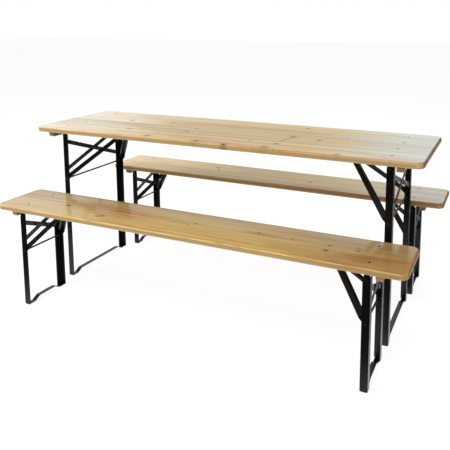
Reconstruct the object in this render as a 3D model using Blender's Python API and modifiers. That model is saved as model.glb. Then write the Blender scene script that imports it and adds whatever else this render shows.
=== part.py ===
"""Folding garden table with two folding benches.

Each of the three has a board on two folding leg frames of angle steel. A leg frame hangs on a hinge
bar under the board and is held upright by a V of two struts, whose cross pin snaps into a catch.
Run with: blender --background --python part.py
"""
import math

import bmesh
import bpy
from mathutils import Matrix, Vector

# Table board
table_length = 1.80
table_width = 0.54
table_height = 0.75
table_bolt_count = 4

# Bench boards
bench_length = 1.78
bench_width = 0.26
bench_height = 0.45
bench_bolt_count = 2

# Places of the benches: from the table's leg frames to a bench board's near edge, and along the table
near_bench_gap = 0.072
near_bench_shift = 0.011
far_bench_gap = 0.037
far_bench_shift = 0.031

# All three boards
board_thickness = 0.025
board_corner_radius = 0.032
board_edge_radius = 0.009

# Angle steel of the leg frames
angle_width = 0.028
angle_wall = 0.003
angle_root_radius = 0.001
table_frame_width = 0.424
bench_frame_width = 0.226
table_leg_inset = 0.115
bench_leg_inset = 0.122

# Bent foot strap that joins the two legs of a frame
strap_wall = 0.003
strap_width = 0.020
strap_inset = 0.0005
foot_length = 0.036
foot_ramp = 0.028
foot_rise = 0.015
foot_bend_radius = 0.008

# Crossed flat bars between the two legs, one of them bent past the other where they cross
brace_width = 0.020
brace_wall = 0.003
brace_top_drop = 0.050
brace_crossing_reach = 0.034
brace_joggle_length = 0.012
brace_bend_radius = 0.010
table_brace_rod_gap = 0.039
bench_brace_rod_gap = 0.042

# Hinge bar under the board
hinge_wall = 0.003
ear_radius = 0.0105
pivot_drop = 0.020
pivot_radius = 0.004
pivot_head_radius = 0.007
pivot_head_height = 0.003

# Bolts that hold the hinge bar to the board
bolt_radius = 0.003
bolt_head_radius = 0.005
bolt_cone_height = 0.003
bolt_sink = 0.0004
nut_radius = 0.005
nut_height = 0.004
table_bolt_inset = 0.022
bench_bolt_inset = 0.038

# Rod that the struts turn on, below the pivot
rod_radius = 0.004
rod_head_radius = 0.0065
rod_head_height = 0.0025
table_rod_drop = 0.211
bench_rod_drop = 0.155

# Struts of angle steel, with flat tabs at both ends
strut_width = 0.020
strut_wall = 0.003
strut_flange = 0.018
strut_tab_length = 0.026
strut_bend_radius = 0.006
strut_flange_inset = 0.010
strut_flange_middle_gap = 0.002
apex_tab_radius = 0.0075
apex_tab_length = 0.016
apex_taper = 0.020
apex_spread = 0.012
table_apex_reach = 0.215
bench_apex_reach = 0.143
apex_drop = 0.009

# Cross pin at the struts' upper ends
pin_radius = 0.003
pin_head_radius = 0.005
pin_head_height = 0.0015

# Spring catch that holds the cross pin
catch_width = 0.018
catch_wall = 0.002
catch_slack = 0.0004
catch_back = 0.030
catch_front = 0.009
catch_nose_reach = 0.0025
catch_nose_depth = 0.006
catch_lip_reach = 0.003
catch_lip_start = 0.0005
catch_lip_slope = math.radians(21)
catch_screw_radius = 0.0035
catch_screw_height = 0.002
catch_screw_spacing = 0.012

# Cross battens outside the leg frames
batten_width = 0.034
batten_slope = 0.009
batten_height = 0.020
batten_frame_gap = 0.015
batten_end_gap = 0.016
batten_edge = 0.0015

# Clearances
seat_gap = 0.0003
turning_gap = 0.001
overrun = 0.004

# Numbers of facets
corner_steps = 6
edge_steps = 3
bend_steps = 2
arc_steps = 8
round_steps = 12

BLACK_STEEL = (0.012, 0.012, 0.012, 1.0)
PINE = (0.62, 0.42, 0.22, 1.0)
BATTEN_PINE = (0.40, 0.22, 0.09, 1.0)


def clear_scene():
    """Remove what a new file holds."""
    for thing in list(bpy.data.objects):
        bpy.data.objects.remove(thing, do_unlink=True)


def make_collection(name):
    """A collection linked to the scene."""
    collection = bpy.data.collections.new(name)
    bpy.context.scene.collection.children.link(collection)
    return collection


def make_material(name, color, roughness, metallic):
    """A Principled material."""
    material = bpy.data.materials.new(name)
    material.use_nodes = True
    shader = material.node_tree.nodes["Principled BSDF"]
    shader.inputs["Base Color"].default_value = color
    shader.inputs["Roughness"].default_value = roughness
    shader.inputs["Metallic"].default_value = metallic
    material.diffuse_color = color
    return material


def evaluated_mesh(thing):
    """A mesh copy of an object with its modifiers, after which the object goes."""
    bpy.context.scene.collection.objects.link(thing)
    graph = bpy.context.evaluated_depsgraph_get()
    mesh = bpy.data.meshes.new_from_object(thing.evaluated_get(graph))
    bpy.data.objects.remove(thing, do_unlink=True)
    return mesh


def placed(mesh, matrix):
    """Weld a mesh, place it by a matrix and turn its faces outwards."""
    shape = bmesh.new()
    shape.from_mesh(mesh)
    bmesh.ops.remove_doubles(shape, verts=shape.verts, dist=seat_gap / 100)
    bmesh.ops.dissolve_limit(shape, angle_limit=math.radians(0.1), verts=shape.verts, edges=shape.edges)
    bmesh.ops.transform(shape, matrix=matrix, verts=shape.verts)
    bmesh.ops.recalc_face_normals(shape, faces=shape.faces)
    shape.to_mesh(mesh)
    shape.free()
    return mesh


def plate(outline, low, high, matrix):
    """A flat outline in the matrix's first two axes, solid from low to high along its third."""
    curve = bpy.data.curves.new("outline", "CURVE")
    curve.dimensions = "2D"
    curve.fill_mode = "BOTH"
    curve.extrude = (high - low) / 2
    spline = curve.splines.new("POLY")
    spline.points.add(len(outline) - 1)
    for point, (across, along) in zip(spline.points, outline):
        point.co = (across, along, 0, 1)
    spline.use_cyclic_u = True
    mesh = evaluated_mesh(bpy.data.objects.new("outline", curve))
    return placed(mesh, matrix @ Matrix.Translation((0, 0, (low + high) / 2)))


def turned(profile, matrix):
    """A profile of radii and heights, turned about the matrix's third axis."""
    mesh = bpy.data.meshes.new("profile")
    points = [(radius, 0, height) for radius, height in profile]
    edges = [(index, index + 1) for index in range(len(points) - 1)]
    mesh.from_pydata(points, edges, [])
    thing = bpy.data.objects.new("profile", mesh)
    screw = thing.modifiers.new("Turn", "SCREW")
    screw.steps = round_steps
    screw.render_steps = round_steps
    screw.use_merge_vertices = True
    screw.merge_threshold = seat_gap / 100
    return placed(evaluated_mesh(thing), matrix)


def together(meshes):
    """One mesh that holds several separate bodies."""
    shape = bmesh.new()
    for mesh in meshes:
        shape.from_mesh(mesh)
    joined = bpy.data.meshes.new("bodies")
    shape.to_mesh(joined)
    shape.free()
    return joined


def axes(first, second, third, origin=(0, 0, 0)):
    """A matrix from three directions and a place."""
    matrix = Matrix((first, second, third)).transposed().to_4x4()
    matrix.translation = Vector(origin)
    return matrix


def corner_arc(before, corner, after, radius, steps):
    """Points of an arc that rounds a corner."""
    corner = Vector(corner)
    start = (Vector(before) - corner).normalized()
    end = (Vector(after) - corner).normalized()
    half = start.angle(end) / 2
    centre = corner + (start + end).normalized() * (radius / math.sin(half))
    first = corner + start * (radius / math.tan(half)) - centre
    last = corner + end * (radius / math.tan(half)) - centre
    sweep = first.angle_signed(last)
    points = []
    for step in range(steps + 1):
        turn = Matrix.Rotation(-sweep * step / steps, 2)
        points.append(tuple(centre + turn @ first))
    return points


def rounded_loop(points, radius, steps):
    """A closed outline with all its corners rounded."""
    outline = []
    count = len(points)
    for index in range(count):
        outline += corner_arc(points[index - 1], points[index], points[(index + 1) % count], radius, steps)
    return outline


def rounded_path(points, radius, steps):
    """An open path with its bends rounded."""
    path = [points[0]]
    for index in range(1, len(points) - 1):
        path += corner_arc(points[index - 1], points[index], points[index + 1], radius, steps)
    path.append(points[-1])
    return path


def strip(path, thickness):
    """The outline of a strip of even thickness whose middle follows a path."""
    sides = []
    for index, point in enumerate(path):
        here = Vector(point)
        before = (here - Vector(path[max(index - 1, 0)])).normalized()
        after = (Vector(path[min(index + 1, len(path) - 1)]) - here).normalized()
        if index == 0:
            before = after
        if index == len(path) - 1:
            after = before
        along = (before + after).normalized()
        across = Vector((-along.y, along.x)) * (thickness / 2 / along.dot(before))
        sides.append((tuple(here + across), tuple(here - across)))
    return [left for left, right in sides] + [right for left, right in reversed(sides)]


def rectangle(low_across, low_along, high_across, high_along):
    """The four corners of a rectangle."""
    return [(low_across, low_along), (high_across, low_along),
            (high_across, high_along), (low_across, high_along)]


def half_circle(radius, start, steps):
    """Points of half a circle about zero, from an angle on."""
    return [(radius * math.cos(start + math.pi * step / steps),
             radius * math.sin(start + math.pi * step / steps)) for step in range(steps + 1)]


def cylinder(radius, low, high, matrix):
    """A round bar from low to high along the matrix's third axis."""
    return turned([(0, high), (radius, high), (radius, low), (0, low)], matrix)


class Builder:
    """Puts meshes into the two collections."""

    def __init__(self):
        self.parts = make_collection("folding_garden_table_and_benches")
        self.tools = make_collection("cutters_and_joined_shapes")

    def empty(self, name, parent, location):
        """An axis or a centre that pieces hang on."""
        thing = bpy.data.objects.new(name, None)
        thing.empty_display_size = angle_width
        thing.parent = parent
        thing.location = location
        self.parts.objects.link(thing)
        return thing

    def piece(self, name, mesh, material, parent):
        """A named sub-part."""
        mesh.name = name
        mesh.materials.clear()
        mesh.materials.append(material)
        thing = bpy.data.objects.new(name, mesh)
        thing.parent = parent
        self.parts.objects.link(thing)
        return thing

    def combine(self, thing, label, mesh, operation):
        """Join, cut or intersect a sub-part with another shape."""
        tool = bpy.data.objects.new(thing.name + "_" + label, mesh)
        tool.parent = thing.parent
        tool.hide_render = True
        tool.display_type = "WIRE"
        self.tools.objects.link(tool)
        modifier = thing.modifiers.new(label, "BOOLEAN")
        modifier.operation = operation
        modifier.solver = "EXACT"
        modifier.object = tool


class Item:
    """The sizes and places of a table or a bench."""

    def __init__(self, name, length, width, height, frame_width, leg_inset, rod_drop, apex_reach,
                 brace_rod_gap, bolts, bolt_inset):
        self.name = name
        self.length = length
        self.width = width
        self.frame_width = frame_width
        self.rod_drop = rod_drop
        self.apex_reach = apex_reach
        self.bolts = bolts
        self.bolt_reach = frame_width / 2 - bolt_inset
        self.underside = height - board_thickness
        self.pivot_height = self.underside - pivot_drop
        self.pivot_x = length / 2 - leg_inset - angle_width / 2
        self.leg_face = frame_width / 2
        self.tab_face = frame_width / 2 - angle_wall - seat_gap
        self.brace_top = pivot_drop - brace_top_drop
        self.brace_low = brace_rod_gap - rod_drop
        rise = rod_drop + pivot_drop - apex_drop
        self.strut_length = math.hypot(apex_reach, rise)
        self.strut_angle = math.atan2(apex_reach, rise)

    def bolt_places(self):
        """Places of the bolts across the board."""
        return [self.bolt_reach * (2 * index / (self.bolts - 1) - 1) for index in range(self.bolts)]


def bolt_profile(extra, head_top, nut_bottom):
    """Half the outline of a bolt with its nut, or of the hole that holds the bolt."""
    head = head_top - bolt_sink
    neck = head - bolt_cone_height
    if extra:
        slope = (bolt_head_radius - bolt_radius) / bolt_cone_height
        rim = bolt_radius + extra + slope * (head_top + overrun - neck)
        return [(0, head_top + overrun), (rim, head_top + overrun), (bolt_radius + extra, neck),
                (bolt_radius + extra, nut_bottom - overrun), (0, nut_bottom - overrun)]
    return [(0, head), (bolt_head_radius, head), (bolt_radius, neck), (bolt_radius, nut_bottom + nut_height),
            (nut_radius, nut_bottom + nut_height), (nut_radius, nut_bottom), (0, nut_bottom)]


def rivet_profile(shank_radius, shank_low, head_radius, head_low, head_height):
    """Half the outline of a rivet with a domed head at its upper end."""
    return [(0, head_low + head_height), (head_radius * 2 / 3, head_low + head_height),
            (head_radius, head_low + head_height / 3), (head_radius, head_low),
            (shank_radius, head_low), (shank_radius, shank_low), (0, shank_low)]


def headed_bar_profile(bar_radius, low, high, head_radius, head_height):
    """Half the outline of a bar with a domed head beyond both ends."""
    upper = rivet_profile(bar_radius, 0, head_radius, high, head_height)
    lower = rivet_profile(bar_radius, 0, head_radius, -low, head_height)
    return upper[:-2] + [(radius, -height) for radius, height in reversed(lower[:-2])]


def along_y(side, place, height, direction=1):
    """Axes of something turned about a line across the board."""
    return axes((side, 0, 0), (0, 0, 1), (0, direction, 0), (side * place, 0, height))


def build_board(builder, item, parent, material):
    """Glued board with round corners, soft edges and the holes of its bolts."""
    corners = rectangle(-item.length / 2, -item.width / 2, item.length / 2, item.width / 2)
    outline = rounded_loop(corners, board_corner_radius, corner_steps)
    level = Matrix.Translation((0, 0, item.underside))
    board = builder.piece(item.name + "_top", plate(outline, 0, board_thickness, level), material, parent)
    bevel = board.modifiers.new("Soft edges", "BEVEL")
    bevel.width = board_edge_radius
    bevel.segments = edge_steps
    bevel.limit_method = "ANGLE"
    bevel.angle_limit = math.radians(40)
    holes = []
    for side in (-1, 1):
        for place in item.bolt_places():
            spot = Matrix.Translation((side * item.pivot_x, place, 0))
            profile = bolt_profile(seat_gap, item.underside + board_thickness, item.underside)
            holes.append(turned(profile, spot))
    builder.combine(board, "bolt_holes", together(holes), "DIFFERENCE")


def build_batten(builder, item, side, label, parent, material):
    """Cross batten under the board with its outer face sloped."""
    near = angle_width / 2 + batten_frame_gap
    far = near + batten_width
    outline = [(near, -seat_gap), (near, -seat_gap - batten_height),
               (far - batten_slope, -seat_gap - batten_height), (far, -seat_gap)]
    reach = item.width / 2 - batten_end_gap
    matrix = along_y(side, item.pivot_x, item.underside)
    batten = builder.piece(label + "_batten", plate(outline, -reach, reach, matrix), material, parent)
    bevel = batten.modifiers.new("Broken edges", "BEVEL")
    bevel.width = batten_edge
    bevel.segments = 1
    bevel.limit_method = "ANGLE"


def angle_outline(face, direction):
    """Outline of a leg's angle steel, whose corner is the frame's outer corner."""
    half = angle_width / 2
    inner = half - angle_wall
    root = corner_arc((inner, face + direction * angle_width), (inner, face + direction * angle_wall),
                      (-half, face + direction * angle_wall), angle_root_radius, bend_steps)
    return [(-half, face), (half, face), (half, face + direction * angle_width),
            (inner, face + direction * angle_width)] + root + [(-half, face + direction * angle_wall)]


def build_leg_frame(builder, item, side, label, hinge, material):
    """Two angle legs welded to a bent foot strap."""
    upright = axes((side, 0, 0), (0, 1, 0), (0, 0, 1))
    foot = strap_wall / 2 - item.pivot_height
    top = angle_width / 2
    front = plate(angle_outline(-item.leg_face, 1), foot, top, upright)
    back = plate(angle_outline(item.leg_face, -1), foot, top, upright)
    frame = builder.piece(label + "_leg_frame", front, material, hinge)
    builder.combine(frame, "back_leg", back, "UNION")

    middle = foot_length + foot_ramp
    ground = strap_wall / 2 - item.pivot_height
    end = item.leg_face - strap_inset
    half_path = [(end, ground), (item.leg_face - foot_length, ground),
                 (item.leg_face - middle, ground + foot_rise)]
    path = [(-across, height) for across, height in half_path] + list(reversed(half_path))
    path = rounded_path(path, foot_bend_radius, bend_steps)
    sideways = axes((0, 1, 0), (0, 0, 1), (side, 0, 0))
    strap = plate(strip(path, strap_wall), -strap_width / 2, strap_width / 2, sideways)
    builder.combine(frame, "foot_strap", strap, "UNION")

    radius = angle_width / 2
    crown = half_circle(radius, 0, arc_steps)
    over = radius + overrun
    waste = crown + [(-over, 0), (-over, over), (over, over), (over, 0)]
    reach = item.leg_face + overrun
    crossways = along_y(side, 0, 0)
    builder.combine(frame, "round_tops", plate(waste, -reach, reach, crossways), "DIFFERENCE")
    pivot_hole = cylinder(pivot_radius + seat_gap, -reach, reach, crossways)
    rod_hole = cylinder(rod_radius + seat_gap, -reach, reach, along_y(side, 0, -item.rod_drop))
    builder.combine(frame, "holes", together([pivot_hole, rod_hole]), "DIFFERENCE")


def build_braces(builder, item, side, label, hinge, material):
    """Two crossed flat bars behind the legs' outer flanges, the inner one bent past the outer."""
    limit = item.tab_face - strut_wall - turning_gap
    slope = math.atan2(item.brace_top - item.brace_low, 2 * limit)
    half_length = limit / math.cos(slope) - brace_width / 2 * math.tan(slope)
    middle = (item.brace_top + item.brace_low) / 2
    face = angle_width / 2 - angle_wall - seat_gap - brace_wall / 2
    passing = face - brace_wall - seat_gap
    joggle = brace_crossing_reach + brace_joggle_length
    bent = [(-half_length, face), (-joggle, face), (-brace_crossing_reach, passing),
            (brace_crossing_reach, passing), (joggle, face), (half_length, face)]
    straight = [(-half_length, face), (half_length, face)]
    for name, path, direction in (("inner", rounded_path(bent, brace_bend_radius, bend_steps), -1),
                                  ("outer", straight, 1)):
        sine = direction * math.sin(slope)
        cosine = math.cos(slope)
        plan = axes((0, cosine, sine), (side, 0, 0), (0, -sine, cosine), (0, 0, middle))
        bar = plate(strip(path, brace_wall), -brace_width / 2, brace_width / 2, plan)
        builder.piece(label + "_brace_" + name, bar, material, hinge)


def build_pivot_rod(builder, item, side, label, hinge, material):
    """Riveted rod between the legs that the struts turn on."""
    end = item.leg_face + seat_gap
    profile = headed_bar_profile(rod_radius, -end, end, rod_head_radius, rod_head_height)
    rod = turned(profile, along_y(side, 0, -item.rod_drop))
    builder.piece(label + "_pivot_rod", rod, material, hinge)


def strut_side_outline(item):
    """Side view of a strut: round at the rod, tapered and round at the cross pin."""
    half = strut_width / 2
    length = item.strut_length
    foot = half_circle(half, math.pi / 2, arc_steps)
    head = [(length + across, along) for across, along in half_circle(apex_tab_radius, -math.pi / 2, arc_steps)]
    return foot + [(length - apex_taper, -half)] + head + [(length - apex_taper, half)]


def build_strut(builder, item, side, label, where, axle, material):
    """Angle steel strut from the rod to the cross pin, flat and bent at both ends."""
    direction = 1 if where == "back" else -1
    sine = math.sin(item.strut_angle)
    cosine = math.cos(item.strut_angle)
    lengthways = (-side * sine, 0, cosine)
    upwards = (side * cosine, 0, sine)
    plan = axes(lengthways, (0, direction, 0), upwards)
    profile = axes(lengthways, upwards, (0, direction, 0))
    half = strut_width / 2
    tab = item.tab_face - strut_wall / 2
    length = item.strut_length

    low_bend = (strut_tab_length, tab)
    high_bend = (length - apex_tab_length, apex_spread)
    path = [(-half - overrun, tab), low_bend, high_bend, (length + apex_tab_radius + overrun, apex_spread)]
    path = rounded_path(path, strut_bend_radius, bend_steps)
    web = plate(strip(path, strut_wall), -half - overrun, half + overrun, plan)
    strut = builder.piece(label + "_strut_" + where, web, material, axle)
    side_view = plate(strut_side_outline(item), 0, item.leg_face, profile)
    builder.combine(strut, "side_view", side_view, "INTERSECT")

    run = Vector(high_bend) - Vector(low_bend)
    along = run.normalized()
    inwards = Vector((along.y, -along.x))
    start = Vector(low_bend) + along * strut_flange_inset
    finish = Vector(high_bend) - along * strut_flange_inset
    inner_start = start + inwards * strut_flange
    travel = (inner_start.y - strut_flange_middle_gap) / -along.y
    inner_finish = inner_start + along * min(travel, (finish - start).length)
    flange_outline = [tuple(start), tuple(finish), tuple(inner_finish), tuple(inner_start)]
    edge = half - seat_gap
    flange = plate(flange_outline, edge - strut_wall, edge, plan)
    builder.combine(strut, "upper_flange", flange, "UNION")

    reach = item.leg_face
    rod_hole = cylinder(rod_radius + seat_gap, 0, reach, profile)
    at_apex = profile @ Matrix.Translation((length, 0, 0))
    if where == "back":
        builder.combine(strut, "rod_hole", rod_hole, "DIFFERENCE")
        front_end = -apex_spread - strut_wall / 2 - seat_gap
        pin_profile = headed_bar_profile(pin_radius, front_end, apex_spread, pin_head_radius,
                                         pin_head_height + strut_wall / 2)
        builder.combine(strut, "cross_pin", turned(pin_profile, at_apex), "UNION")
    else:
        pin_hole = cylinder(pin_radius + seat_gap, 0, reach, at_apex)
        builder.combine(strut, "holes", together([rod_hole, pin_hole]), "DIFFERENCE")


def build_catch(builder, item, side, label, parent, material):
    """Hook and spring nose, bent from strip and screwed under the board."""
    crossways = along_y(side, item.pivot_x - item.apex_reach, item.underside)
    half = catch_wall / 2
    plate_level = -seat_gap - half
    wall = pin_radius + catch_slack + half
    lip = -apex_drop - wall
    nose = [(catch_back, plate_level), (-catch_front, plate_level),
            (-catch_front - catch_nose_reach, plate_level - catch_nose_depth)]
    hook = [(wall, plate_level), (wall, lip), (catch_lip_start, lip),
            (-catch_lip_reach, lip - math.tan(catch_lip_slope) * (catch_lip_reach + catch_lip_start))]
    reach = catch_width / 2
    base = plate(strip(nose, catch_wall), -reach, reach, crossways)
    catch = builder.piece(label + "_catch", base, material, parent)
    hook_reach = reach - seat_gap
    arm = plate(strip(hook, catch_wall), -hook_reach, hook_reach, crossways)
    builder.combine(catch, "hook", arm, "UNION")
    heads = []
    for index in (1, 2):
        spot = (side * (item.pivot_x - item.apex_reach + index * catch_screw_spacing), 0,
                item.underside + plate_level)
        head = rivet_profile(catch_screw_radius / 2, -half / 2, catch_screw_radius, half / 2,
                             catch_screw_height)
        heads.append(turned(head, axes((1, 0, 0), (0, -1, 0), (0, 0, -1), spot)))
    builder.combine(catch, "screw_heads", together(heads), "UNION")


def build_hinge_bar(builder, item, side, label, parent, material):
    """Flat bar with two ears and their rivets, bolted through the board."""
    crossways = along_y(side, item.pivot_x, item.pivot_height)
    level = axes((side, 0, 0), (0, 1, 0), (0, 0, 1), (side * item.pivot_x, 0, item.underside))
    half = angle_width / 2
    reach = item.tab_face - strap_inset
    bar = plate(rectangle(-half, -reach, half, reach), -seat_gap - hinge_wall, -seat_gap, level)
    hinge_bar = builder.piece(label + "_hinge_bar", bar, material, parent)

    neck = pivot_drop - seat_gap - hinge_wall / 2
    outline = half_circle(ear_radius, math.pi, arc_steps) + [(ear_radius, neck), (-ear_radius, neck)]
    ears = []
    rivets = []
    for direction in (-1, 1):
        faces = sorted((direction * item.tab_face, direction * (item.tab_face - hinge_wall)))
        ears.append(plate(outline, faces[0], faces[1], crossways))
        rivet = rivet_profile(pivot_radius, item.tab_face - hinge_wall / 2, pivot_head_radius,
                              item.leg_face + seat_gap, pivot_head_height)
        rivets.append(turned(rivet, along_y(side, item.pivot_x, item.pivot_height, direction)))
    builder.combine(hinge_bar, "ears", together(ears), "UNION")
    builder.combine(hinge_bar, "pivots", together(rivets), "UNION")

    bolts = []
    nut_bottom = item.underside - seat_gap - hinge_wall / 2 - nut_height
    for place in item.bolt_places():
        spot = Matrix.Translation((side * item.pivot_x, place, 0))
        bolts.append(turned(bolt_profile(0, item.underside + board_thickness, nut_bottom), spot))
    builder.combine(hinge_bar, "bolts", together(bolts), "UNION")


def build_item(builder, item, centre, steel, pine, batten_pine):
    """A board with everything that it carries."""
    middle = builder.empty(item.name + "_centre", None, centre)
    build_board(builder, item, middle, pine)
    for side, end in ((-1, "left"), (1, "right")):
        label = item.name + "_" + end
        build_batten(builder, item, side, label, middle, batten_pine)
        build_hinge_bar(builder, item, side, label, middle, steel)
        build_catch(builder, item, side, label, middle, steel)
        hinge = builder.empty(label + "_leg_axis", middle, (side * item.pivot_x, 0, item.pivot_height))
        build_leg_frame(builder, item, side, label, hinge, steel)
        build_braces(builder, item, side, label, hinge, steel)
        build_pivot_rod(builder, item, side, label, hinge, steel)
        axle = builder.empty(label + "_strut_axis", hinge, (0, 0, -item.rod_drop))
        for where in ("front", "back"):
            build_strut(builder, item, side, label, where, axle, steel)


def main():
    """Build the table and both benches about the middle of their footprint."""
    clear_scene()
    builder = Builder()
    steel = make_material("black_steel", BLACK_STEEL, 0.35, 0.0)
    pine = make_material("pine_boards", PINE, 0.4, 0.0)
    batten_pine = make_material("pine_battens", BATTEN_PINE, 0.5, 0.0)
    table = Item("table", table_length, table_width, table_height, table_frame_width, table_leg_inset,
                 table_rod_drop, table_apex_reach, table_brace_rod_gap, table_bolt_count, table_bolt_inset)
    benches = [Item(name, bench_length, bench_width, bench_height, bench_frame_width, bench_leg_inset,
                    bench_rod_drop, bench_apex_reach, bench_brace_rod_gap, bench_bolt_count, bench_bolt_inset)
               for name in ("near_bench", "far_bench")]
    near_y = -(table_frame_width / 2 + near_bench_gap + bench_width / 2)
    far_y = table_frame_width / 2 + far_bench_gap + bench_width / 2
    places = [(0, 0), (near_bench_shift, near_y), (far_bench_shift, far_y)]
    items = [table] + benches
    ends = [x + sign * item.length / 2 for item, (x, y) in zip(items, places) for sign in (-1, 1)]
    sides = [y + sign * item.width / 2 for item, (x, y) in zip(items, places) for sign in (-1, 1)]
    middle_x = (min(ends) + max(ends)) / 2
    middle_y = (min(sides) + max(sides)) / 2
    for item, (x, y) in zip(items, places):
        build_item(builder, item, (x - middle_x, y - middle_y, 0), steel, pine, batten_pine)


main()
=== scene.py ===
"""Looks of a folding garden table and benches: lacquered pine on black enamelled leg frames."""
import math

import bmesh
import bpy
from mathutils import Matrix, Vector


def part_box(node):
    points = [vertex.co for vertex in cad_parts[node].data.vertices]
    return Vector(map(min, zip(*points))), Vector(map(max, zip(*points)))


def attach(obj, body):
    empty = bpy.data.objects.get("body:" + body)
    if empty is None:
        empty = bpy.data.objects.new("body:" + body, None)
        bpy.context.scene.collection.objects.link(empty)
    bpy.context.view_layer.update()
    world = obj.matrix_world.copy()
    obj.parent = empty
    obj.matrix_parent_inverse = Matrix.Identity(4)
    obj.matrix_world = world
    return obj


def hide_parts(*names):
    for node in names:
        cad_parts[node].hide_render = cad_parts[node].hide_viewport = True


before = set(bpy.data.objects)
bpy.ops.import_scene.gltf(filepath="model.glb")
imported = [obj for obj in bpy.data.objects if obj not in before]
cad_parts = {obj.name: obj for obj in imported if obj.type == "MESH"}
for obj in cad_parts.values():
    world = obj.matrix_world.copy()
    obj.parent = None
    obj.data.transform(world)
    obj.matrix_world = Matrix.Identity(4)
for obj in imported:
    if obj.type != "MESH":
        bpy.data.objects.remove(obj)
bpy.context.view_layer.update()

# The photograph's camera
photo_pixels = 450
focal_pixels = 581.3
optical_centre = (251.0, 105.3)
camera_place = Vector((1.1564, -2.3129, 1.2487))
camera_yaw = 0.4261
camera_pitch = 0.1453
camera_roll = -0.0012
sensor_width = 36
nearest_view = 0.05
farthest_view = 100

# Soft boxes: place, target, edge length and power
lamps = {
    "key_light": ((-2.2, -3.7, 4.2), (0, 0, 0.4), 3.6, 290),
    "top_light": ((0.5, 0.8, 4.2), (0, 0, 0.4), 3.0, 135),
    "front_fill": ((0.8, -4.5, 0.9), (0, 0, 0.6), 2.0, 38),
}

# Even light on the object, and the white of the floor itself
world_level = 0.40
floor_size = 30
floor_white = 1.20
floor_white_share = 0.75

# The floor that lacquer and enamel mirror. It is dark in front and to the right, but for a white
# card beside the table's right end. Each fade gives the places where it begins and ends
floor_front_level = 0.06
floor_front_fade = (-0.80, -0.45)
floor_right_fade = (0.80, 0.95)
card_left_fade = (1.04, 1.10)
card_right_fade = (1.235, 1.25)

# The walls that they mirror: dimmer in front, to the right and low down. Each fade gives the
# directions where it begins and ends
front_level = 0.52
front_fade = (-0.15, 0.20)
right_level = 0.20
right_fade = (0.04, 0.14)
low_level = 0.68
low_fade = (0.18, 0.31)

# A cool, soft window behind the set, which lacquer and enamel alone mirror
window_level = 0.60
window_left_fade = (-0.34, -0.10)
window_right_fade = (0.0, 0.10)
window_back_fade = (0.5, 0.8)
window_top_fade = (0.32, 0.50)

# Boards, and how near to upright, level or square an edge of a plain board has to be
stave_count = {"table": 4, "near_bench": 2, "far_bench": 2}
corner_radius = 0.032
edge_radius = 0.009
corner_segments = 12
edge_segments = 6
nearly_upright = 0.9
nearly_level = 0.1
nearly_square = 0.1

# Bolt heads let into the boards
bolt_head_radius = 0.0048
bolt_head_bevel = 0.0003
bolt_head_depth = 0.0009
bolt_top_tolerance = 0.0003
bolt_socket_radius = 0.0018
bolt_well_radius = 0.0055
bolt_well_depth = 0.0035
round_segments = 32

# Nuts under the hinge bars, with how far below the board they are seated
nut_sides = 6
nut_corner_radius = 0.0059
nut_height = 0.0025
nut_edge = 0.0003
nut_seat_depth = 0.0033

# Softened edges of enamelled steel, nuts and battens
steel_edge = 0.0005
batten_edge = 0.0008
soft_segments = 2
flat_angle = math.radians(0.5)
sharp_angle = math.radians(32)
weld_distance = 0.000002

# Rivet heads on the rods
rod_radius = 0.004
rod_head_radius = 0.0065
rod_head_height = 0.0025
rod_head_steps = 6

# Screws in the battens. The profile goes from the recess to the foot, in shares of the head's
# radius and height
screw_count = {"table": 4, "near_bench": 2, "far_bench": 2}
screw_radius = 0.0038
screw_height = 0.0009
screw_profile = ((0, 0.3), (0.45, 0.3), (0.5, 1), (0.85, 0.8), (1, 0), (1, -1), (0, -1))
screw_end_distance = 0.035
screw_line_share = 0.38

# Weld beads at the foot straps and at the crossed bars, and how far from its corner each lies
bead_width = 0.0028
bead_subdivisions = 3
foot_bead_length = 0.0098
foot_bead_offset = 0.0047
foot_bead_height = 0.0035
foot_bead_depth = 0.0035
bar_bead_length = 0.016
bar_bead_drop = 0.011
bar_bead_depth = 0.0012
bar_thickness = 0.003

# Black enamel with a slight orange peel, and the duller black of the bolts
enamel_specular = 0.30
enamel_roughness = (0.26, 0.33)
enamel_mottle_scale = 45
peel_scale = 420
peel_strength = 0.025
peel_height = 0.0002
bolt_specular = 0.10
bolt_roughness = (0.55, 0.70)
bolt_mottle_scale = 300
mottle_spread = (0.3, 0.7)

# How many layers of detail a noise has
coarse_detail = 2.0
middle_detail = 3.0
fine_detail = 4.0

# How far chance shifts the grain of each stave along, across and up
stave_shifts = (7.0, 3.0, 3.0)
batten_seed_step = 5

# Growth rings about a pith below the board, which sway along the stave and swell about a knot.
# Each stretch gives a noise's scale along, across and up
ring_spacing = 0.0042
pith_least_depth = 0.018
pith_depth_spread = 0.045
sway_stretch = (1.1, 5, 5)
sway_width = 0.060
ripple_stretch = (7, 60, 60)
ripple_width = 0.0035
swelling_width = 0.009
swelling_fade = (1.0, 7.0)
late_wood_rise = (0.25, 0.86)
late_wood_fall = (0.9, 1.0)

# Broad drift of the wood's tone, with the parts of half a board where the ends' tones fade
broad_stretch = (1.6, 9, 9)
left_tone_fade = (-1.0, -0.1)
right_tone_fade = (0.42, 0.95)

# Fades near a board's edges, in shares of the edge's radius from the top or from the end. The
# tint of the upper edge grows along the board, in shares of half its length
# The rim's tone is partly the edge wood's own and partly painted light: how fully it covers the
# edge, and where it fades out below the top
rim_wood_and_light_share = 0.85
rim_wood_and_light_fade = (0.5, 1 / 30)
upper_edge_rise = (0.8, 0.4)
upper_edge_fall = (0.15, 0.0)
upper_edge_growth = (-0.3, 0.8)
upper_edge_levels = (0.2, 1.0)
end_grain_fade = (0.7, 0.1)

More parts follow.
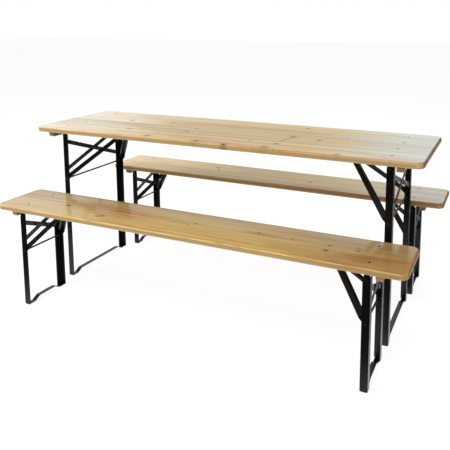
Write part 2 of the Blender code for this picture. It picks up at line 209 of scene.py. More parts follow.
# Reddish patches, heartwood streaks, late wood, fibres, and the shade of each stave
patch_fade = (0.25, 1.25)
tongue_stretch = (3, 110, 110)
tongue_spread = (0.35, 0.62)
tongue_levels = (0.25, 1.0)
streak_stretch = (0.9, 34, 34)
streak_roughness = 0.62
streak_spread = (0.47, 0.66)
streak_levels = (0.0, 0.85)
late_wood_spread = (0.2, 0.8)
late_wood_levels = (0.35, 0.75)
fibre_stretch = (16, 900, 900)
fibre_spread = (0.2, 0.8)
fibre_shades = (0.93, 1.05)
stave_shades = (0.88, 1.08)

# Knots and branches. Their fades are in shares of a knot's radius or of half a branch's thickness
out_of_reach = 40.0
knot_stretch = (0.75, 1, 0.12)
knot_halo_fade = (1.0, 3.0)
knot_halo_share = 0.65
knot_core_fade = (0.75, 1.15)
knot_core_share = 0.95
branch_flatness = (1, 1, 0.5)
branch_fade = (0.6, 2.6)
branch_share = 0.60
ragged_stretch = (55, 130, 130)
ragged_spread = (0.35, 0.65)
ragged_levels = (0.75, 2.2)

# Glue lines between staves, by their distance from the seam
glue_line_fade = (0.0002, 0.0009)
glue_line_share = 0.55

# Early and late wood under clear lacquer, with the relief of its fibres
wood_roughness = (0.50, 0.42)
wood_specular = 0.15
lacquer_weight = 0.60
lacquer_roughness = 0.12
lacquer_ior = 1.5
fibre_relief = 0.6
late_wood_relief = 0.4
relief_strength = 0.10
relief_height = 0.0003

# A colour mix node's sockets for its share and its two colours, and its colour output
mix_sockets = (0, 6, 7)
mix_output = 2

WHITE = (1, 1, 1, 1)
FLOOR_GREY = (0.60, 0.60, 0.60, 1)
WINDOW_LIGHT = (0.86, 0.96, 1.0, 1)
BLACK_PAINT = (0.0026, 0.0022, 0.0018, 1)
DARK_KNOT = (0.042, 0.020, 0.010, 1)
KNOT_HALO = (0.190, 0.100, 0.035, 1)
BRANCH_WOOD = (0.090, 0.055, 0.026, 1)
GLUE_LINE = (0.200, 0.130, 0.065, 1)

# How much darker than the wood about them the end grain, reddish patches, heartwood streaks and
# late wood are
END_GRAIN_TINT = (0.66, 0.50, 0.36, 1)
REDDISH_TINT = (0.78, 0.46, 0.26, 1)
HEARTWOOD_TINT = (0.74, 0.60, 0.46, 1)
LATE_WOOD_TINT = (0.72, 0.60, 0.42, 1)

# Wood of each board at its left end, in its middle and at its right end
board_tones = {
    "table": ((0.618, 0.570, 0.465, 1), (0.372, 0.269, 0.090, 1), (0.330, 0.330, 0.281, 1)),
    "near_bench": ((0.448, 0.356, 0.205, 1), (0.426, 0.299, 0.102, 1), (0.290, 0.176, 0.054, 1)),
    "far_bench": ((0.768, 0.598, 0.325, 1), (0.372, 0.271, 0.090, 1), (0.378, 0.333, 0.238, 1)),
}
# Each board's rim tone, partly the wood's own and partly painted light, set board by board as
# brightly as each rim is lit, and how its upper edge is tinted towards the right end
rim_wood_and_light_tones = {
    "table": ((0.570, 0.400, 0.185, 1), (0.84, 0.62, 0.42, 1)),
    "near_bench": ((0.690, 0.490, 0.220, 1), (0.95, 0.87, 0.74, 1)),
    "far_bench": ((0.560, 0.335, 0.135, 1), (0.84, 0.62, 0.42, 1)),
}
# Wood of the battens, painted darker than the boards as painted shade beneath them
batten_wood_and_shade_tones = ((0.330, 0.215, 0.100, 1), (0.330, 0.215, 0.100, 1), (0.280, 0.175, 0.075, 1))

# Each knot: place along and across its board from the middle, and its radius
table_knots = [
    (-0.283, -0.243, 0.008), (-0.028, -0.250, 0.009), (0.106, -0.262, 0.007),
    (0.279, -0.247, 0.010), (0.577, -0.255, 0.006), (0.316, -0.010, 0.011),
    (0.441, -0.032, 0.008), (0.300, -0.171, 0.007), (0.176, -0.159, 0.005),
    (-0.572, 0.053, 0.006), (-0.448, -0.142, 0.006), (-0.169, -0.092, 0.006),
    (-0.351, 0.084, 0.006), (-0.161, -0.014, 0.005), (0.537, 0.051, 0.005),
    (0.309, 0.202, 0.006),
]
near_knots = [
    (-0.582, -0.017, 0.005), (-0.586, 0.026, 0.003), (-0.360, -0.068, 0.005),
    (-0.376, -0.077, 0.004), (0.039, 0.012, 0.004), (0.310, 0.018, 0.004),
    (0.449, 0.011, 0.003), (0.591, 0.009, 0.005), (0.591, -0.039, 0.006),
    (0.696, 0.002, 0.005), (0.692, 0.025, 0.004),
]
far_knots = [(-0.310, 0.040, 0.006), (0.240, -0.030, 0.006), (0.610, 0.020, 0.005)]

# Each branch cut along its length: one end, the other end, and half its thickness
table_branches = [
    (0.316, -0.010, 0.296, -0.119, 0.0035), (0.441, -0.032, 0.444, -0.085, 0.0016),
    (-0.283, -0.241, -0.270, -0.136, 0.0025), (0.286, -0.171, 0.318, -0.168, 0.0030),
]
near_branches = [
    (-0.384, -0.081, -0.350, -0.062, 0.0025), (-0.440, -0.027, -0.380, -0.021, 0.0012),
    (-0.062, -0.004, 0.020, -0.008, 0.0022), (0.270, 0.004, 0.330, 0.020, 0.0020),
    (0.450, 0.014, 0.530, 0.018, 0.0022),
]
far_branches = [(-0.310, 0.040, -0.270, -0.020, 0.0025)]

# Each patch of reddish wood: its middle along and across the board, and its reach both ways
table_patches = [(0.800, -0.245, 0.150, 0.022), (0.060, -0.245, 0.160, 0.022)]
near_patches = [
    (0.815, -0.035, 0.100, 0.028), (0.710, -0.055, 0.110, 0.038),
    (0.380, 0.015, 0.150, 0.020), (-0.360, 0.005, 0.260, 0.090),
]
far_patches = [(0.300, -0.100, 0.200, 0.020)]

# What marks each board, and the seed of its grain
board_marks = {
    "table": (table_knots, table_branches, table_patches),
    "near_bench": (near_knots, near_branches, near_patches),
    "far_bench": (far_knots, far_branches, far_patches),
}
board_seeds = {"table": 3.0, "near_bench": 11.0, "far_bench": 23.0}


def feed(tree, socket, value):
    """Link a socket to another one, or set its value."""
    if isinstance(value, bpy.types.NodeSocket):
        tree.links.new(value, socket)
    else:
        socket.default_value = value


def calculate(tree, operation, *values):
    """One step of arithmetic in a material."""
    node = tree.nodes.new("ShaderNodeMath")
    node.operation = operation
    for socket, value in zip(node.inputs, values):
        feed(tree, socket, value)
    return node.outputs[0]


def vector_step(tree, operation, *values):
    """One step of vector arithmetic in a material."""
    node = tree.nodes.new("ShaderNodeVectorMath")
    node.operation = operation
    for socket, value in zip(node.inputs, values):
        feed(tree, socket, value)
    gives_number = operation in ("LENGTH", "DOT_PRODUCT")
    return node.outputs["Value" if gives_number else "Vector"]


def ramp(tree, value, start, end, low=0.0, high=1.0):
    """Smooth change from low to high while a value goes from start to end."""
    node = tree.nodes.new("ShaderNodeMapRange")
    node.interpolation_type = "SMOOTHSTEP"
    numbers = {"From Min": start, "From Max": end, "To Min": low, "To Max": high}
    for name, number in numbers.items():
        node.inputs[name].default_value = number
    feed(tree, node.inputs["Value"], value)
    return node.outputs["Result"]


def noise(tree, place, stretch, detail=middle_detail, roughness=0.5):
    """Noise between 0 and 1, whose scale along each axis is given by stretch."""
    node = tree.nodes.new("ShaderNodeTexNoise")
    node.inputs["Scale"].default_value = 1.0
    node.inputs["Detail"].default_value = detail
    node.inputs["Roughness"].default_value = roughness
    feed(tree, node.inputs["Vector"], vector_step(tree, "MULTIPLY", place, stretch))
    return node.outputs["Fac"]


def blend_colours(tree, share, first, second, mode="MIX"):
    """Mix two colours."""
    node = tree.nodes.new("ShaderNodeMix")
    node.data_type = "RGBA"
    node.blend_type = mode
    for index, value in zip(mix_sockets, (share, first, second)):
        feed(tree, node.inputs[index], value)
    return node.outputs[mix_output]


def tint(tree, share, colour, tone):
    """Darken a share of a colour by a tone."""
    darker = blend_colours(tree, 1.0, colour, tone, "MULTIPLY")
    return blend_colours(tree, share, colour, darker)


def place_from(tree, centre):
    """Object coordinates counted from a piece's own middle."""
    coordinates = tree.nodes.new("ShaderNodeTexCoord")
    mapping = tree.nodes.new("ShaderNodeMapping")
    mapping.inputs["Location"].default_value = tuple(-number for number in centre)
    tree.links.new(coordinates.outputs["Object"], mapping.inputs["Vector"])
    return mapping.outputs["Vector"]


def split(tree, vector):
    """The three parts of a vector."""
    node = tree.nodes.new("ShaderNodeSeparateXYZ")
    tree.links.new(vector, node.inputs[0])
    return node.outputs[0], node.outputs[1], node.outputs[2]


def combine(tree, *parts):
    """A vector from three parts."""
    node = tree.nodes.new("ShaderNodeCombineXYZ")
    for socket, value in zip(node.inputs, parts):
        feed(tree, socket, value)
    return node.outputs[0]


def new_material(name):
    """An empty Principled material."""
    material = bpy.data.materials.new(name)
    material.use_nodes = True
    return material, material.node_tree, material.node_tree.nodes["Principled BSDF"]


def add_bump(tree, shader, height, strength, distance):
    """Fine relief on a surface."""
    bump = tree.nodes.new("ShaderNodeBump")
    bump.inputs["Strength"].default_value = strength
    bump.inputs["Distance"].default_value = distance
    feed(tree, bump.inputs["Height"], height)
    tree.links.new(bump.outputs["Normal"], shader.inputs["Normal"])


def black_material(name, specular, roughness, mottle_scale, mottle_detail):
    """Black surface with mottled gloss."""
    material, tree, shader = new_material(name)
    place = place_from(tree, (0, 0, 0))
    shader.inputs["Base Color"].default_value = BLACK_PAINT
    shader.inputs["Specular IOR Level"].default_value = specular
    mottle = noise(tree, place, (mottle_scale,) * 3, mottle_detail)
    feed(tree, shader.inputs["Roughness"], ramp(tree, mottle, *mottle_spread, *roughness))
    return material, tree, shader, place


def enamel_material():
    """Glossy black stove enamel with a slight orange peel."""
    material, tree, shader, place = black_material(
        "black_enamel", enamel_specular, enamel_roughness, enamel_mottle_scale, fine_detail)
    peel = noise(tree, place, (peel_scale,) * 3, coarse_detail)
    add_bump(tree, shader, peel, peel_strength, peel_height)
    return material


def bolt_material():
    """Dull blackened steel of the bolts."""
    return black_material(
        "blackened_bolts", bolt_specular, bolt_roughness, bolt_mottle_scale, middle_detail)[0]


def knot_distance(tree, place, knots):
    """Distance to the nearest knot, as a multiple of its radius."""
    nearest = out_of_reach
    for along, across, radius in knots:
        offset = vector_step(tree, "SUBTRACT", place, (along, across, 0))
        scale = tuple(share / radius for share in knot_stretch)
        away = vector_step(tree, "LENGTH", vector_step(tree, "MULTIPLY", offset, scale))
        nearest = calculate(tree, "MINIMUM", away, nearest)
    return nearest


def branch_distance(tree, place, branches, top):
    """Distance to the nearest branch, as a multiple of half its thickness.

    Branches start at the board's top and are ragged at their edges.
    """
    nearest = out_of_reach
    for start_along, start_across, end_along, end_across, half_thickness in branches:
        run = Vector((end_along - start_along, end_across - start_across, 0))
        offset = vector_step(tree, "SUBTRACT", place, (start_along, start_across, top))
        flat = vector_step(tree, "MULTIPLY", offset, branch_flatness)
        travelled = vector_step(tree, "DOT_PRODUCT", flat, tuple(run / run.length_squared))
        share = calculate(tree, "MINIMUM", calculate(tree, "MAXIMUM", travelled, 0.0), 1.0)
        foot = vector_step(tree, "MULTIPLY", combine(tree, share, share, share), tuple(run))
        away = vector_step(tree, "LENGTH", vector_step(tree, "SUBTRACT", flat, foot))
        multiple = calculate(tree, "DIVIDE", away, half_thickness)
        nearest = calculate(tree, "MINIMUM", multiple, nearest)
    ragged = ramp(tree, noise(tree, place, ragged_stretch), *ragged_spread, *ragged_levels)
    return calculate(tree, "MULTIPLY", nearest, ragged)


def stave_places(tree, across, width, staves, seed):
    """Which stave a point lies in, how far from the stave's middle, and the stave's chances."""
    position = calculate(tree, "ADD", calculate(tree, "DIVIDE", across, width), staves / 2)
    stave = calculate(tree, "FLOOR", position)
    chance = tree.nodes.new("ShaderNodeTexWhiteNoise")
    chance.noise_dimensions = "1D"
    feed(tree, chance.inputs["W"], calculate(tree, "ADD", stave, seed))
    chances = split(tree, chance.outputs["Color"])
    share = calculate(tree, "SUBTRACT", calculate(tree, "SUBTRACT", position, stave), 0.5)
    return position, calculate(tree, "MULTIPLY", share, width), chances


def growth_rings(tree, grain, inside, height, width, chances, knot):
    """How late in its year the wood grew, from 0 to 1."""
    _, across_chance, depth_chance = chances
    sway = noise(tree, grain, sway_stretch, coarse_detail)
    ripple = noise(tree, grain, ripple_stretch)
    pith_share = calculate(tree, "SUBTRACT", across_chance, 0.5)
    pith_across = calculate(tree, "MULTIPLY", pith_share, width)
    pith_depth = calculate(tree, "MULTIPLY_ADD", depth_chance, pith_depth_spread,
                           pith_least_depth)
    sideways = calculate(tree, "SUBTRACT", inside, pith_across)
    upwards = calculate(tree, "ADD", height, pith_depth)
    radius = vector_step(tree, "LENGTH", combine(tree, 0.0, sideways, upwards))
    for wave, wave_width in ((sway, sway_width), (ripple, ripple_width)):
        swing = calculate(tree, "SUBTRACT", wave, 0.5)
        radius = calculate(tree, "MULTIPLY_ADD", swing, wave_width, radius)
    if knot is not None:
        swelling = ramp(tree, knot, *swelling_fade, swelling_width, 0.0)
        radius = calculate(tree, "ADD", radius, swelling)
    ring = calculate(tree, "FRACT", calculate(tree, "DIVIDE", radius, ring_spacing))
    rise = ramp(tree, ring, *late_wood_rise)
    return calculate(tree, "MULTIPLY", rise, ramp(tree, ring, *late_wood_fall, 1.0, 0.0))


def tone_along(tree, along, broad, half_length, tones):
    """The wood's tone, which drifts from the left end through the middle to the right end."""
    left_tone, middle_tone, right_tone = tones
    swing = calculate(tree, "SUBTRACT", broad, 0.5)
    drift = calculate(tree, "MULTIPLY_ADD", swing, half_length, along)
    left_places = [half_length * share for share in left_tone_fade]
    right_places = [half_length * share for share in right_tone_fade]
    left_share = ramp(tree, drift, *left_places, 1.0, 0.0)
    colour = blend_colours(tree, left_share, middle_tone, left_tone)
    return blend_colours(tree, ramp(tree, drift, *right_places), colour, right_tone)


def within_edge(edge, fade):
    """Places that lie shares of the edge radius inside an edge."""
    return [edge - edge_radius * share for share in fade]


def colour_rim(tree, colour, along, height, half_length, top, rim):
    """Give a board its rim's tone (partly its own wood, partly painted light), a tinted upper
    edge and brown end grain.
    """
    rim_wood_and_light, rim_tint = rim
    # Painted light mixed with the edge wood's own tone, below the top
    rim_wood_and_light_mix = ramp(tree, height, *within_edge(top, rim_wood_and_light_fade), rim_wood_and_light_share, 0.0)
    colour = blend_colours(tree, rim_wood_and_light_mix, colour, rim_wood_and_light)
    rise = ramp(tree, height, *within_edge(top, upper_edge_rise))
    fall = ramp(tree, height, *within_edge(top, upper_edge_fall), 1.0, 0.0)
    growth_places = [half_length * share for share in upper_edge_growth]
    growth = ramp(tree, along, *growth_places, *upper_edge_levels)
    upper_edge = calculate(tree, "MULTIPLY", calculate(tree, "MULTIPLY", rise, fall), growth)
    colour = tint(tree, upper_edge, colour, rim_tint)
    from_middle = calculate(tree, "ABSOLUTE", along)
    ends = ramp(tree, from_middle, *within_edge(half_length, end_grain_fade))
    return tint(tree, ends, colour, END_GRAIN_TINT)


def add_patches(tree, colour, place, grain, patches):
    """Reddish wood, in tongues that follow the grain."""
    for middle_along, middle_across, reach_along, reach_across in patches:
        offset = vector_step(tree, "SUBTRACT", place, (middle_along, middle_across, 0))
        scale = (1 / reach_along, 1 / reach_across, 1)
        away = vector_step(tree, "LENGTH", vector_step(tree, "MULTIPLY", offset, scale))
        patch = ramp(tree, away, *patch_fade, 1.0, 0.0)
        tongues = ramp(tree, noise(tree, grain, tongue_stretch), *tongue_spread, *tongue_levels)
        colour = tint(tree, calculate(tree, "MULTIPLY", patch, tongues), colour, REDDISH_TINT)
    return colour


def add_grain(tree, colour, grain, broad, late, fibre, stave_chance):
    """Heartwood streaks, late wood, fibres and the shade of each stave."""
    streak = noise(tree, grain, streak_stretch, fine_detail, streak_roughness)
    streaks = ramp(tree, streak, *streak_spread, *streak_levels)
    colour = tint(tree, streaks, colour, HEARTWOOD_TINT)
    late_level = ramp(tree, broad, *late_wood_spread, *late_wood_levels)
    colour = tint(tree, calculate(tree, "MULTIPLY", late, late_level), colour, LATE_WOOD_TINT)
    fibre_shade = ramp(tree, fibre, *fibre_spread, *fibre_shades)
    stave_shade = ramp(tree, stave_chance, 0.0, 1.0, *stave_shades)
    shade = calculate(tree, "MULTIPLY", fibre_shade, stave_shade)
    return blend_colours(tree, 1.0, colour, combine(tree, shade, shade, shade), "MULTIPLY")


def add_knots(tree, colour, knot, branch):
    """Dark knots in brown halos, and branches cut along their length."""
    for distance, fade, share, tone in (
            (branch, branch_fade, branch_share, BRANCH_WOOD),
            (knot, knot_halo_fade, knot_halo_share, KNOT_HALO),
            (knot, knot_core_fade, knot_core_share, DARK_KNOT)):
        colour = blend_colours(tree, ramp(tree, distance, *fade, share, 0.0), colour, tone)
    return colour


def add_glue_lines(tree, colour, position, width):
    """Thin dark lines where two staves meet."""
    part = calculate(tree, "FRACT", calculate(tree, "ADD", position, 0.5))
    share = calculate(tree, "ABSOLUTE", calculate(tree, "SUBTRACT", part, 0.5))
    seam = calculate(tree, "MULTIPLY", share, width)
    line = ramp(tree, seam, *glue_line_fade, glue_line_share, 0.0)
    return blend_colours(tree, line, colour, GLUE_LINE)


def lacquer(tree, shader, colour, late, fibre):
    """Clear lacquer over wood that keeps the relief of its fibres."""
    feed(tree, shader.inputs["Base Color"], colour)
    feed(tree, shader.inputs["Roughness"], ramp(tree, late, 0.0, 1.0, *wood_roughness))
    shader.inputs["Specular IOR Level"].default_value = wood_specular
    shader.inputs["Coat Weight"].default_value = lacquer_weight
    shader.inputs["Coat Roughness"].default_value = lacquer_roughness
    shader.inputs["Coat IOR"].default_value = lacquer_ior
    late_height = calculate(tree, "MULTIPLY", late, late_wood_relief)
    height = calculate(tree, "MULTIPLY_ADD", fibre, fibre_relief, late_height)
    add_bump(tree, shader, height, relief_strength, relief_height)


def pine_material(name, box, staves, seed, tones, marks=((), (), ()), rim=None):
    """Lacquered pine: staves cut from different logs, with growth rings, knots and glue lines."""
    material, tree, shader = new_material(name)
    low, high = box
    centre = (low + high) / 2
    half_length = (high.x - low.x) / 2
    top = high.z - centre.z
    width = (high.y - low.y) / staves
    knots, branches, patches = marks

    place = place_from(tree, centre)
    along, across, height = split(tree, place)
    position, inside, chances = stave_places(tree, across, width, staves, seed)
    shifted = [calculate(tree, "MULTIPLY_ADD", chance, shift, part)
               for chance, shift, part in zip(chances, stave_shifts, (along, inside, height))]
    grain = combine(tree, *shifted)
    knot = knot_distance(tree, place, knots) if knots else None
    late = growth_rings(tree, grain, inside, height, width, chances, knot)
    broad = noise(tree, grain, broad_stretch)
    fibre = noise(tree, grain, fibre_stretch, coarse_detail)

    colour = tone_along(tree, along, broad, half_length, tones)
    if rim:
        colour = colour_rim(tree, colour, along, height, half_length, top, rim)
    colour = add_patches(tree, colour, place, grain, patches)
    colour = add_grain(tree, colour, grain, broad, late, fibre, chances[0])
    if knots:
        colour = add_knots(tree, colour, knot, branch_distance(tree, place, branches, top))
    if staves > 1:
        colour = add_glue_lines(tree, colour, position, width)
    lacquer(tree, shader, colour, late, fibre)
    return material


def link(name, data):
    """Put a new object into the scene."""
    thing = bpy.data.objects.new(name, data)
    bpy.context.scene.collection.objects.link(thing)
    return thing


def mesh_from(name, shape):
    """Turn a bmesh into a mesh."""
    mesh = bpy.data.meshes.new(name)
    shape.to_mesh(mesh)
    shape.free()
    return mesh


def finish_piece(name, shape, material, body, nodes=()):
    """Make an object of a bmesh, give it its material and let it ride on a body."""
    mesh = mesh_from(name, shape)
    mesh.materials.append(material)
    mesh.shade_smooth()
    mesh.set_sharp_from_angle(angle=sharp_angle)
    piece = link(name, mesh)
    even = piece.modifiers.new("Even shading", "WEIGHTED_NORMAL")
    even.keep_sharp = True
    if nodes:
        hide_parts(*nodes)
    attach(piece, body)
    return piece


def block(low, high):
    """A box between two corners."""
    shape = bmesh.new()
    bmesh.ops.create_cube(shape, size=1)
    bmesh.ops.scale(shape, vec=high - low, verts=shape.verts)
    bmesh.ops.translate(shape, vec=(low + high) / 2, verts=shape.verts)
    return shape


def round_off(shape, edges, width, segments):
    """Round some edges of a shape."""
    bmesh.ops.bevel(shape, geom=edges, offset=width, offset_type="OFFSET", affect="EDGES",
                    segments=segments, profile=0.5, clamp_overlap=True, material=-1)


def steepness(edge):
    """How steeply an edge rises, from 0 to 1."""
    return abs((edge.verts[1].co - edge.verts[0].co).normalized().z)


def turned_shape(profile, place, axis):
    """A profile of radii and heights, turned about an axis through a place."""
    shape = bmesh.new()
    points = [shape.verts.new((radius, 0, height)) for radius, height in profile]
    edges = [shape.edges.new(pair) for pair in zip(points, points[1:])]
    bmesh.ops.spin(shape, geom=points + edges, cent=(0, 0, 0), axis=(0, 0, 1), angle=math.tau,
                   steps=round_segments, use_merge=True)
    bmesh.ops.remove_doubles(shape, verts=shape.verts, dist=weld_distance)
    bmesh.ops.recalc_face_normals(shape, faces=shape.faces)
    turn = Vector((0, 0, 1)).rotation_difference(Vector(axis)).to_matrix().to_4x4()
    bmesh.ops.transform(shape, matrix=Matrix.Translation(place) @ turn, verts=shape.verts)
    return shape


def gather(shapes):
    """Put several shapes into one."""
    whole = bmesh.new()
    for shape in shapes:
        mesh = mesh_from("part", shape)
        whole.from_mesh(mesh)
        bpy.data.meshes.remove(mesh)
    return whole


def smooth_copy(node, width):
    """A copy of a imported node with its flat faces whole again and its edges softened."""
    shape = bmesh.new()
    shape.from_mesh(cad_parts[node].data)
    bmesh.ops.remove_doubles(shape, verts=shape.verts, dist=weld_distance)
    bmesh.ops.dissolve_limit(shape, angle_limit=flat_angle, verts=shape.verts, edges=shape.edges)
    edges = [edge for edge in shape.edges
             if edge.is_manifold and edge.calc_face_angle(0) > sharp_angle]
    round_off(shape, edges, width, soft_segments)
    return shape


def bolt_places(item):
    """Where the bolt heads lie in a board, read from the frame's hinge bars."""
    places = []
    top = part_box(item + "_top")[1].z
    for end in ("left", "right"):
        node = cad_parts[f"{item}_{end}_hinge_bar"]
        low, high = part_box(node.name)
        middle = (low.x + high.x) / 2
        tips = [node.matrix_world @ corner.co for corner in node.data.vertices]
        highest = max(tip.z for tip in tips)
        heads = sorted(tip.y for tip in tips if tip.z > highest - bolt_top_tolerance)
        group = [heads[0]]
        for across in heads[1:] + [math.inf]:
            if across - group[-1] > bolt_head_radius:
                places.append(Vector((middle, (group[0] + group[-1]) / 2, top)))
                group = []
            group.append(across)
    return places


def cut_wells(board, item):
    """Cut a well into the board for each bolt head."""
    profile = [(0, bolt_well_depth), (bolt_well_radius, bolt_well_depth),
               (bolt_well_radius, -bolt_well_depth), (0, -bolt_well_depth)]
    wells = [turned_shape(profile, place, (0, 0, 1)) for place in bolt_places(item)]
    cutter = link("wells", mesh_from("wells", gather(wells)))
    cut = board.modifiers.new("Bolt wells", "BOOLEAN")
    cut.operation = "DIFFERENCE"
    cut.solver = "EXACT"
    cut.object = cutter
    board.modifiers.move(1, 0)
    graph = bpy.context.evaluated_depsgraph_get()
    finished = bpy.data.meshes.new_from_object(board.evaluated_get(graph))
    board.modifiers.remove(cut)
    board.data = finished
    bpy.data.objects.remove(cutter, do_unlink=True)


def make_board(item, pine):
    """Glued board with round corners, softly rounded edges and wells for the bolt heads."""
    node = item + "_top"
    shape = block(*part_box(node))
    upright = [edge for edge in shape.edges if steepness(edge) > nearly_upright]
    round_off(shape, upright, corner_radius, corner_segments)
    rim = [edge for edge in shape.edges if steepness(edge) < nearly_level
           and abs(abs(edge.calc_face_angle(0)) - math.pi / 2) < nearly_square]
    round_off(shape, rim, edge_radius, edge_segments)
    cut_wells(finish_piece(item + "_board", shape, pine, item, [node]), item)


def make_bolts(item, black):
    """Bolt heads in the board's wells, and hexagon nuts under the hinge bars."""
    socket_floor = (bolt_socket_radius, -2 * bolt_head_bevel)
    profile = [socket_floor, (bolt_socket_radius, 0), (bolt_head_radius - bolt_head_bevel, 0),
               (bolt_head_radius, -bolt_head_bevel), (bolt_head_radius, -bolt_head_depth),
               (bolt_socket_radius, -bolt_head_depth), socket_floor]
    seat_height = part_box(item + "_top")[0].z - nut_seat_depth - nut_height / 2
    heads = []
    nuts = []
    for place in bolt_places(item):
        heads.append(turned_shape(profile, place, (0, 0, 1)))
        nut = bmesh.new()
        bmesh.ops.create_cone(nut, cap_ends=True, segments=nut_sides, radius1=nut_corner_radius,
                              radius2=nut_corner_radius, depth=nut_height)
        round_off(nut, list(nut.edges), nut_edge, soft_segments)
        bmesh.ops.translate(nut, vec=Vector((place.x, place.y, seat_height)), verts=nut.verts)
        nuts.append(nut)
    finish_piece(item + "_bolt_heads", gather(heads), black, item)
    finish_piece(item + "_nuts", gather(nuts), black, item)


def make_batten(item, end, pine, enamel):
    """Cross batten with softened edges, and its screws."""
    node = f"{item}_{end}_batten"
    wood = smooth_copy(node, batten_edge)
    finish_piece(node + "_wood", wood, pine, item, [node])
    low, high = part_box(node)
    reach = (high.y - low.y) / 2 - screw_end_distance
    inner, outer = (low.x, high.x) if end == "right" else (high.x, low.x)
    middle = inner + (outer - inner) * screw_line_share
    profile = [(radius * screw_radius, height * screw_height)
               for radius, height in screw_profile]
    count = screw_count[item]
    screws = []
    for index in range(count):
        across = (low.y + high.y) / 2 + reach * (2 * index / (count - 1) - 1)
        screws.append(turned_shape(profile, Vector((middle, across, low.z)), (0, 0, -1)))
    finish_piece(node + "_screws", gather(screws), enamel, item)


def make_rod(item, end, enamel):
    """Round rod with a domed rivet head at both ends."""
    node = f"{item}_{end}_pivot_rod"
    low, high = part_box(node)
    shoulder = (high.y - low.y) / 2 - rod_head_height
    angles = [math.pi / 2 * step / rod_head_steps for step in range(rod_head_steps + 1)]
    upper = [(rod_head_radius * math.sin(angle), shoulder + rod_head_height * math.cos(angle))
             for angle in angles]
    upper += [(rod_head_radius, shoulder), (rod_radius, shoulder)]
    profile = upper + [(radius, -height) for radius, height in reversed(upper)]
    rod = turned_shape(profile, (low + high) / 2, (0, 1, 0))
    finish_piece(node + "_turned", rod, enamel, f"{item}_{end}_legs", [node])


def weld_bead(place, size):
    """A rounded bead of weld."""
    bead = bmesh.new()
    bmesh.ops.create_icosphere(bead, subdivisions=bead_subdivisions, radius=0.5)
    bmesh.ops.scale(bead, vec=size, verts=bead.verts)
    bmesh.ops.translate(bead, vec=Vector(place), verts=bead.verts)
    return bead


def make_welds(item, end, enamel):
    """Weld beads where the foot strap meets the legs and the crossed bars meet the flanges."""
    low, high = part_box(f"{item}_{end}_leg_frame")
    centre = (low.x + high.x) / 2
    foot_size = (foot_bead_length, bead_width, bead_width)
    bar_size = (bead_width, bead_width, bar_bead_length)
    beads = []
    for inwards, face in ((1, low.y), (-1, high.y)):
        for side in (-1, 1):
            place = (centre + side * foot_bead_offset, face + inwards * foot_bead_depth,
                     foot_bead_height)
            beads.append(weld_bead(place, foot_size))
    for layer in ("inner", "outer"):
        low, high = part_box(f"{item}_{end}_brace_{layer}")
        middle = high.x - bar_thickness / 2 if end == "right" else low.x + bar_thickness / 2
        for inwards, face in ((1, low.y), (-1, high.y)):
            at_top = (inwards == 1) == (layer == "inner")
            height = high.z - bar_bead_drop if at_top else low.z + bar_bead_drop
            beads.append(weld_bead((middle, face + inwards * bar_bead_depth, height), bar_size))
    finish_piece(f"{item}_{end}_welds", gather(beads), enamel, f"{item}_{end}_legs")


def make_steel_end(item, end, enamel):
    """All enamelled steel of one end, with softened edges."""
    legs = f"{item}_{end}_legs"
    struts = f"{item}_{end}_struts"
    bodies = {"leg_frame": legs, "brace_inner": legs, "brace_outer": legs,
              "strut_front": struts, "strut_back": struts, "catch": item, "hinge_bar": item}
    for part, body in bodies.items():
        node = f"{item}_{end}_{part}"
        shape = smooth_copy(node, steel_edge)
        finish_piece(node + "_enamelled", shape, enamel, body, [node])


def seen_directly(tree, rays):
    """Whether a ray comes from the camera, straight or through something clear."""
    return calculate(tree, "MAXIMUM", rays.outputs["Is Camera Ray"],
                     rays.outputs["Is Transmission Ray"])


def make_floor():
    """Plain white floor that keeps a soft shadow, with darker parts for mirrored rays alone."""
    material, tree, shader = new_material("studio_floor")
    shader.inputs["Base Color"].default_value = FLOOR_GREY
    shader.inputs["Roughness"].default_value = 1.0
    shader.inputs["Specular IOR Level"].default_value = 0.0
    rays = tree.nodes.new("ShaderNodeLightPath")
    mirrored = rays.outputs["Is Glossy Ray"]
    white_share = calculate(tree, "MULTIPLY", seen_directly(tree, rays), floor_white_share)
    along, across, _ = split(tree, place_from(tree, (0, 0, 0)))
    front = ramp(tree, across, *floor_front_fade, floor_front_level, 1.0)
    right = ramp(tree, along, *floor_right_fade, 1.0, right_level)
    card = calculate(tree, "MULTIPLY", ramp(tree, along, *card_left_fade),
                     ramp(tree, along, *card_right_fade, 1.0, 0.0))
    sweep = calculate(tree, "MULTIPLY", front, calculate(tree, "MAXIMUM", right, card))
    not_mirrored = calculate(tree, "SUBTRACT", 1.0, mirrored)
    level = calculate(tree, "MAXIMUM", not_mirrored, sweep)
    glow = tree.nodes.new("ShaderNodeEmission")
    feed(tree, glow.inputs["Strength"], calculate(tree, "MULTIPLY", level, floor_white))
    mix = tree.nodes.new("ShaderNodeMixShader")
    tree.links.new(calculate(tree, "MAXIMUM", white_share, mirrored), mix.inputs[0])
    tree.links.new(shader.outputs[0], mix.inputs[1])
    tree.links.new(glow.outputs[0], mix.inputs[2])
    tree.links.new(mix.outputs[0], tree.nodes["Material Output"].inputs["Surface"])
    shape = bmesh.new()
    bmesh.ops.create_grid(shape, x_segments=1, y_segments=1, size=floor_size)
    mesh = mesh_from("floor", shape)
    mesh.materials.append(material)
    link("floor", mesh)


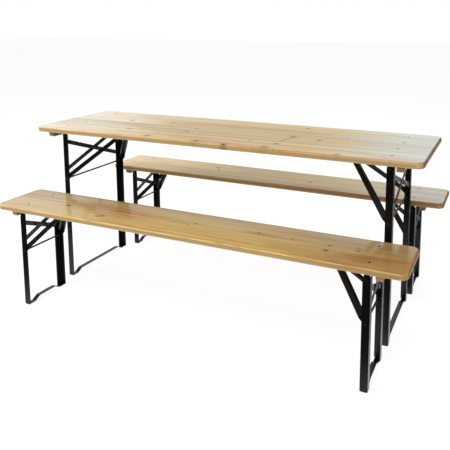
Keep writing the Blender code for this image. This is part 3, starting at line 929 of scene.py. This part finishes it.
def make_world():
    """White backdrop, even light on the object, and the walls that mirrored rays see."""
    world = bpy.data.worlds.new("studio")
    bpy.context.scene.world = world
    world.use_nodes = True
    tree = world.node_tree
    background = tree.nodes["Background"]
    rays = tree.nodes.new("ShaderNodeLightPath")
    is_glossy = rays.outputs["Is Glossy Ray"]
    directions = tree.nodes.new("ShaderNodeTexCoord").outputs["Generated"]
    sideways, backwards, upwards = split(tree, directions)

    walls = ramp(tree, backwards, *front_fade, front_level, 1.0)
    walls = calculate(tree, "MULTIPLY", walls,
                      ramp(tree, sideways, *right_fade, 1.0, right_level))
    walls = calculate(tree, "MULTIPLY", walls, ramp(tree, upwards, *low_fade, low_level, 1.0))

    window = calculate(tree, "MULTIPLY", ramp(tree, sideways, *window_left_fade),
                       ramp(tree, backwards, *window_back_fade))
    window = calculate(tree, "MULTIPLY", window,
                       ramp(tree, sideways, *window_right_fade, 1.0, 0.0))
    window = calculate(tree, "MULTIPLY", window,
                       ramp(tree, upwards, *window_top_fade, 1.0, 0.0))
    window = calculate(tree, "MULTIPLY", window, is_glossy)
    feed(tree, background.inputs["Color"], blend_colours(tree, window, WHITE, WINDOW_LIGHT))

    walls = calculate(tree, "MULTIPLY_ADD", window, window_level, walls)
    mirrored = calculate(tree, "MULTIPLY", is_glossy, walls)
    lit = calculate(tree, "MULTIPLY", rays.outputs["Is Diffuse Ray"], world_level)
    level = calculate(tree, "MAXIMUM", seen_directly(tree, rays), mirrored)
    feed(tree, background.inputs["Strength"], calculate(tree, "MAXIMUM", level, lit))


def add_lamp(name, place, target, size, power):
    """A square soft box that faces a target. Glossy surfaces don't mirror it."""
    data = bpy.data.lights.new(name, "AREA")
    data.shape = "SQUARE"
    data.size = size
    data.energy = power
    lamp = link(name, data)
    lamp.location = place
    lamp.visible_glossy = False
    direction = Vector(target) - Vector(place)
    lamp.rotation_euler = direction.to_track_quat("-Z", "Y").to_euler()


def make_camera():
    """The photograph's camera."""
    data = bpy.data.cameras.new("photo_camera")
    data.sensor_width = sensor_width
    data.lens = focal_pixels / photo_pixels * sensor_width
    data.shift_x = 0.5 - optical_centre[0] / photo_pixels
    data.shift_y = optical_centre[1] / photo_pixels - 0.5
    data.clip_start = nearest_view
    data.clip_end = farthest_view
    camera = link("photo_camera", data)
    turn = Matrix.Rotation(camera_yaw, 4, "Z")
    turn = turn @ Matrix.Rotation(math.pi / 2 - camera_pitch, 4, "X")
    turn = turn @ Matrix.Rotation(camera_roll, 4, "Z")
    camera.matrix_world = Matrix.Translation(camera_place) @ turn
    bpy.context.scene.camera = camera


def main():
    """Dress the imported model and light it."""
    bpy.context.scene.view_settings.view_transform = "Standard"
    make_camera()
    make_world()
    make_floor()
    for name, (place, target, size, power) in lamps.items():
        add_lamp(name, place, target, size, power)
    enamel = enamel_material()
    black = bolt_material()
    for item, seed in board_seeds.items():
        pine = pine_material(item + "_pine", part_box(item + "_top"), stave_count[item], seed,
                             board_tones[item], board_marks[item], rim_wood_and_light_tones[item])
        make_board(item, pine)
        make_bolts(item, black)
        for end in ("left", "right"):
            node = f"{item}_{end}_batten"
            # Batten wood, with painted shade in its darker tones
            batten_pine = pine_material(node + "_pine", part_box(node), 1,
                                        seed + batten_seed_step, batten_wood_and_shade_tones)
            make_batten(item, end, batten_pine, enamel)
            make_rod(item, end, enamel)
            make_steel_end(item, end, enamel)
            make_welds(item, end, enamel)


main()
